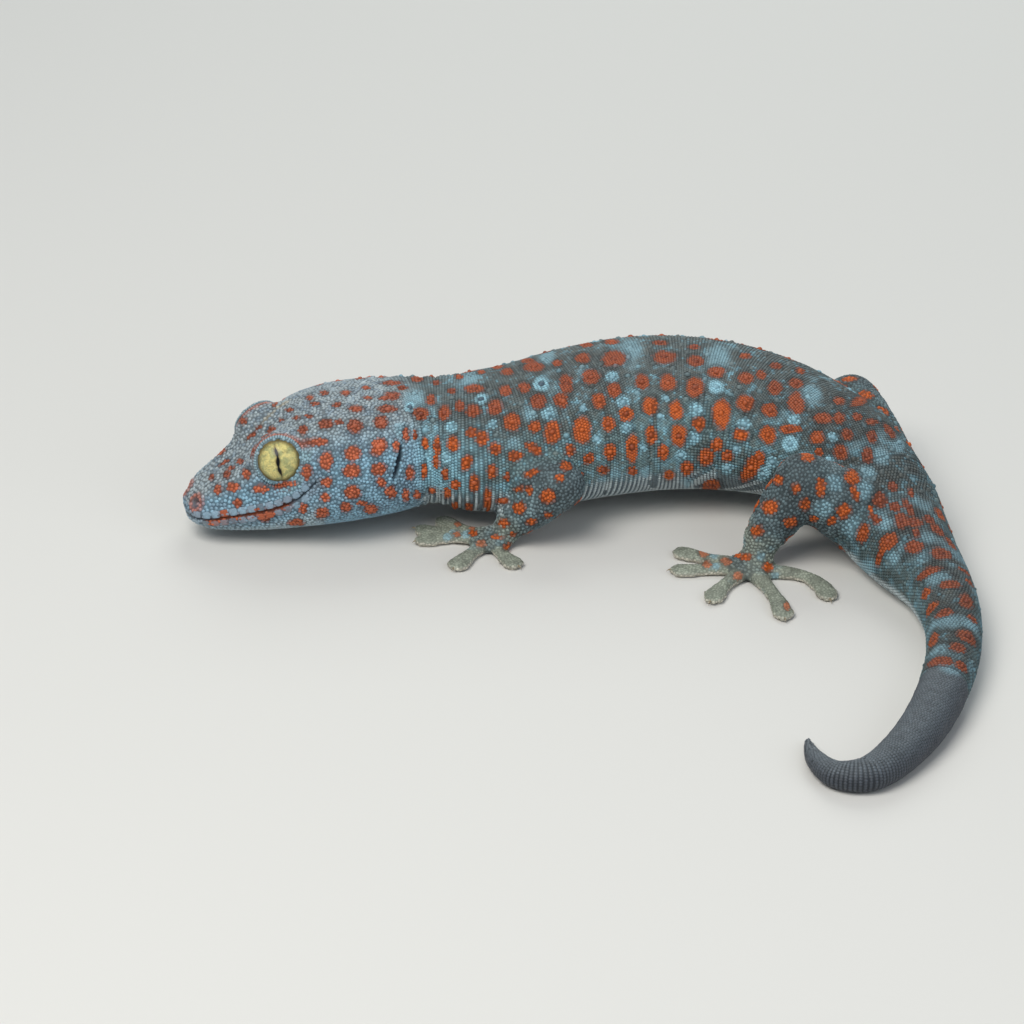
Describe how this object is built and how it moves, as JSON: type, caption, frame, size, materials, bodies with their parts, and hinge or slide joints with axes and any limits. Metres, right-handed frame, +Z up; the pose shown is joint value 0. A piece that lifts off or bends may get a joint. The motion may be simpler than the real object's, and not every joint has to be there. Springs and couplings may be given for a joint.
{
  "type": "tokay gecko",
  "caption": "Still, life-size tokay gecko standing on flat feet, head low and turned to its left, back arched sideways, hooked tail laid on the floor.",
  "frame": {"origin": "the middle of the footprint's box, on the floor that the feet and the tail rest on", "axes": "+X from the snout towards the pelvis, +Y towards the animal's right side, +Z up"},
  "size_m": [0.1474, 0.1502, 0.029],
  "materials": {
    "skin_head": "fine granular scales, satin",
    "skin_body": "small scales in rows with low bumps, satin",
    "skin_limb": "granular scales, satin",
    "skin_toe": "soft scaly pads, satin",
    "skin_tail_end": "smooth rings of small scales, satin",
    "eye": "clear wet gloss over a patterned iris"
  },
  "bodies": {
    "root": {"head": "skin_head", "lower_jaw": "skin_head", "eye_left": "eye", "eye_right": "eye", "neck": "skin_body", "chest": "skin_body", "belly": "skin_body", "pelvis": "skin_body", "tail_base": "skin_body", "tail_middle": "skin_body", "tail_regrown": "skin_tail_end", "tail_tip": "skin_tail_end", "foreleg_left_upper": "skin_limb", "foreleg_left_lower": "skin_limb", "foreleg_left_foot": "skin_toe", "foreleg_left_toe_1": "skin_toe", "foreleg_left_toe_2": "skin_toe", "foreleg_left_toe_3": "skin_toe", "foreleg_left_toe_4": "skin_toe", "foreleg_left_toe_5": "skin_toe", "foreleg_right_upper": "skin_limb", "foreleg_right_lower": "skin_limb", "foreleg_right_foot": "skin_toe", "foreleg_right_toe_1": "skin_toe", "foreleg_right_toe_2": "skin_toe", "foreleg_right_toe_3": "skin_toe", "foreleg_right_toe_4": "skin_toe", "foreleg_right_toe_5": "skin_toe", "hindleg_left_upper": "skin_limb", "hindleg_left_lower": "skin_limb", "hindleg_left_foot": "skin_toe", "hindleg_left_toe_1": "skin_toe", "hindleg_left_toe_2": "skin_toe", "hindleg_left_toe_3": "skin_toe", "hindleg_left_toe_4": "skin_toe", "hindleg_left_toe_5": "skin_toe", "hindleg_right_upper": "skin_limb", "hindleg_right_lower": "skin_limb", "hindleg_right_foot": "skin_toe", "hindleg_right_toe_1": "skin_toe", "hindleg_right_toe_2": "skin_toe", "hindleg_right_toe_3": "skin_toe", "hindleg_right_toe_4": "skin_toe", "hindleg_right_toe_5": "skin_toe"}
  },
  "joints": []
}
